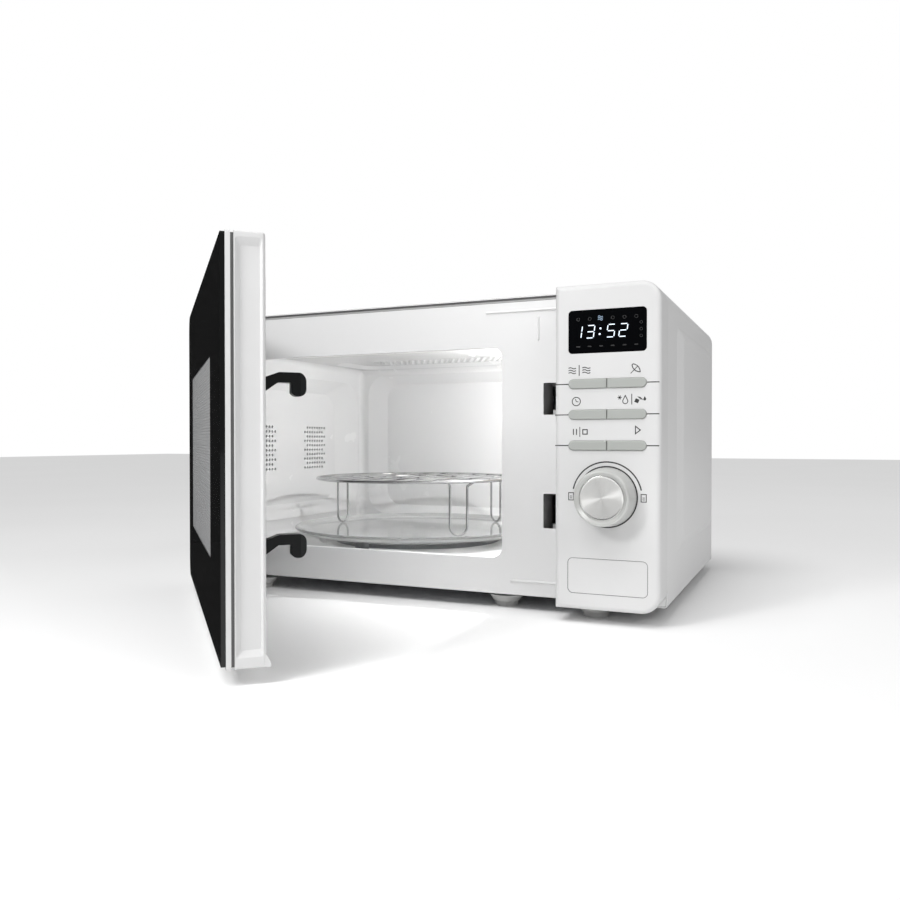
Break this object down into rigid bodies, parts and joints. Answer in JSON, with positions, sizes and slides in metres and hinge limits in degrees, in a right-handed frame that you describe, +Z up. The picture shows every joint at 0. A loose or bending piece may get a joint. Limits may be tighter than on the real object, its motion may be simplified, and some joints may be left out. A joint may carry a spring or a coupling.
{
  "type": "microwave oven",
  "caption": "Compact countertop microwave oven with a side-hinged glass door, key and dial control panel, glass turntable and wire grill rack.",
  "frame": {"origin": "on the worktop, at the centre of the rectangle of the four corner feet", "axes": "+X towards the control panel side, +Y towards the rear, +Z up"},
  "size_m": [0.4545, 0.5718, 0.259],
  "materials": {
    "cabinet_paint": "satin near-white powder coat",
    "cavity_enamel": "glossy white enamel",
    "zinc_sheet": "plain zinc-coated steel",
    "core_steel": "dark laminated steel",
    "aluminium_fins": "plain aluminium",
    "panel_plastic": "light grey satin plastic",
    "door_plastic": "near-white satin plastic",
    "button_plastic": "warm grey satin plastic",
    "black_plastic": "black moulded plastic",
    "grey_plastic": "mid grey moulded plastic",
    "foot_rubber": "grey rubber",
    "spun_metal": "radially brushed aluminium",
    "chrome_wire": "bright chrome plate",
    "black_glass": "glossy black printed glass",
    "clear_glass": "clear pressed glass",
    "display_lens": "dark glossy lens",
    "clear_sheet": "clear sheet",
    "circuit_board": "green circuit board",
    "copper": "enamelled copper wire",
    "mica": "mica sheet",
    "spring_steel": "plain spring steel"
  },
  "bodies": {
    "cabinet": {"outer_cover": "cabinet_paint", "base_plate": "zinc_sheet", "feet": "foot_rubber", "rear_panel": "zinc_sheet", "cover_screws": "zinc_sheet", "cord_gland": "black_plastic", "rear_spacers": "grey_plastic", "front_plate": "cavity_enamel", "cavity_left_wall": "cavity_enamel", "cavity_right_wall": "cavity_enamel", "cavity_rear_wall": "cavity_enamel", "cavity_ceiling": "cavity_enamel", "cavity_floor": "cavity_enamel", "waveguide_cover": "mica", "waveguide": "zinc_sheet", "magnetron": "zinc_sheet", "cooling_fins": "aluminium_fins", "transformer_core": "core_steel", "transformer_windings": "copper", "hv_capacitor": "aluminium_fins", "fan_housing": "grey_plastic", "fan_motor": "core_steel", "cavity_lamp": "grey_plastic", "grill_heater": "core_steel", "grill_reflector": "zinc_sheet", "turntable_motor": "zinc_sheet", "filter_board": "circuit_board", "latch_bracket": "grey_plastic", "microswitches": "black_plastic", "fascia": "panel_plastic", "display_window": "display_lens", "control_board": "circuit_board", "encoder": "zinc_sheet", "hinge_brackets": "zinc_sheet"},
    "door": {"door_frame": "door_plastic", "door_glass": "black_glass", "door_pan": "cavity_enamel", "window_screen": "core_steel", "inner_window": "clear_sheet", "door_liner": "black_plastic", "latch_spring": "spring_steel"},
    "latch": {"door_latch": "black_plastic"},
    "release_button": {"release_button": "panel_plastic"},
    "release_slider": {"release_slider": "grey_plastic"},
    "knob": {"knob": "button_plastic", "knob_disc": "spun_metal"},
    "coupler": {"turntable_coupler": "grey_plastic"},
    "tray": {"glass_tray": "clear_glass"},
    "rack": {"grill_rack": "chrome_wire"},
    "roller_ring": {"roller_ring": "grey_plastic"},
    "fan": {"fan_blade": "grey_plastic"},
    "key_microwave": {"key_microwave": "button_plastic"},
    "key_saver": {"key_saver": "button_plastic"},
    "key_clock": {"key_clock": "button_plastic"},
    "key_defrost": {"key_defrost": "button_plastic"},
    "key_pause": {"key_pause": "button_plastic"},
    "key_start": {"key_start": "button_plastic"},
    "roller_1": {"roller_1": "grey_plastic"},
    "roller_2": {"roller_2": "grey_plastic"},
    "roller_3": {"roller_3": "grey_plastic"}
  },
  "joints": [
    {"name": "door_swing", "type": "hinge", "parent": "cabinet", "child": "door", "pos_m": [-0.2112, -0.1381, 0.135], "axis": [0, 0, -1], "range_deg": [-45.7, 50]},
    {"name": "latch_lift", "type": "slide", "parent": "door", "child": "latch", "axis": [0, 0, 1], "range_m": [0, 0.006], "stiffness_N_per_m": 300, "springref_m": -0.004, "deforming": ["latch_spring"]},
    {"name": "release_press", "type": "slide", "parent": "cabinet", "child": "release_button", "axis": [0, 1, 0], "range_m": [0, 0.004], "stiffness_N_per_m": 500, "springref_m": -0.002},
    {"name": "slider_lift", "type": "slide", "parent": "cabinet", "child": "release_slider", "axis": [0, 0, 1], "range_m": [0, 0.006]},
    {"name": "key_microwave_press", "type": "slide", "parent": "cabinet", "child": "key_microwave", "axis": [0, 1, 0], "range_m": [0, 0.0008], "stiffness_N_per_m": 600, "springref_m": -0.0006},
    {"name": "key_saver_press", "type": "slide", "parent": "cabinet", "child": "key_saver", "axis": [0, 1, 0], "range_m": [0, 0.0008], "stiffness_N_per_m": 600, "springref_m": -0.0006},
    {"name": "key_clock_press", "type": "slide", "parent": "cabinet", "child": "key_clock", "axis": [0, 1, 0], "range_m": [0, 0.0008], "stiffness_N_per_m": 600, "springref_m": -0.0006},
    {"name": "key_defrost_press", "type": "slide", "parent": "cabinet", "child": "key_defrost", "axis": [0, 1, 0], "range_m": [0, 0.0008], "stiffness_N_per_m": 600, "springref_m": -0.0006},
    {"name": "key_pause_press", "type": "slide", "parent": "cabinet", "child": "key_pause", "axis": [0, 1, 0], "range_m": [0, 0.0008], "stiffness_N_per_m": 600, "springref_m": -0.0006},
    {"name": "key_start_press", "type": "slide", "parent": "cabinet", "child": "key_start", "axis": [0, 1, 0], "range_m": [0, 0.0008], "stiffness_N_per_m": 600, "springref_m": -0.0006},
    {"name": "knob_turn", "type": "hinge", "parent": "cabinet", "child": "knob", "pos_m": [0.18, -0.168, 0.0977], "axis": [0, 1, 0], "continuous": true},
    {"name": "turntable_spin", "type": "hinge", "parent": "cabinet", "child": "coupler", "pos_m": [-0.058, 0.004, 0.04], "axis": [0, 0, 1], "continuous": true},
    {"name": "tray_lift", "type": "slide", "parent": "coupler", "child": "tray", "axis": [0, 0, 1], "range_m": [0, 0.02]},
    {"name": "rack_lift", "type": "slide", "parent": "tray", "child": "rack", "axis": [0, 0, 1], "range_m": [0, 0.06]},
    {"name": "ring_spin", "type": "hinge", "parent": "cabinet", "child": "roller_ring", "pos_m": [-0.058, 0.004, 0.039], "axis": [0, 0, 1], "continuous": true},
    {"name": "roller_1_spin", "type": "hinge", "parent": "roller_ring", "child": "roller_1", "pos_m": [0.02798, 0.03529, 0.039], "axis": [0.9397, 0.342, 0], "continuous": true},
    {"name": "roller_2_spin", "type": "hinge", "parent": "roller_ring", "child": "roller_2", "pos_m": [-0.12809, 0.06281, 0.039], "axis": [-0.766, 0.6428, 0], "continuous": true},
    {"name": "roller_3_spin", "type": "hinge", "parent": "roller_ring", "child": "roller_3", "pos_m": [-0.07389, -0.08611, 0.039], "axis": [-0.1736, -0.9848, 0], "continuous": true},
    {"name": "fan_spin", "type": "hinge", "parent": "cabinet", "child": "fan", "pos_m": [0.158, 0.137, 0.15], "axis": [0, 1, 0], "continuous": true}
  ],
  "couplings": [
    {"joint": "slider_lift", "follows": "release_press", "ratio": 1.5},
    {"joint": "ring_spin", "follows": "turntable_spin", "ratio": 0.5},
    {"joint": "roller_1_spin", "follows": "turntable_spin", "ratio": -7.1484},
    {"joint": "roller_2_spin", "follows": "turntable_spin", "ratio": -7.1484},
    {"joint": "roller_3_spin", "follows": "turntable_spin", "ratio": -7.1484}
  ]
}
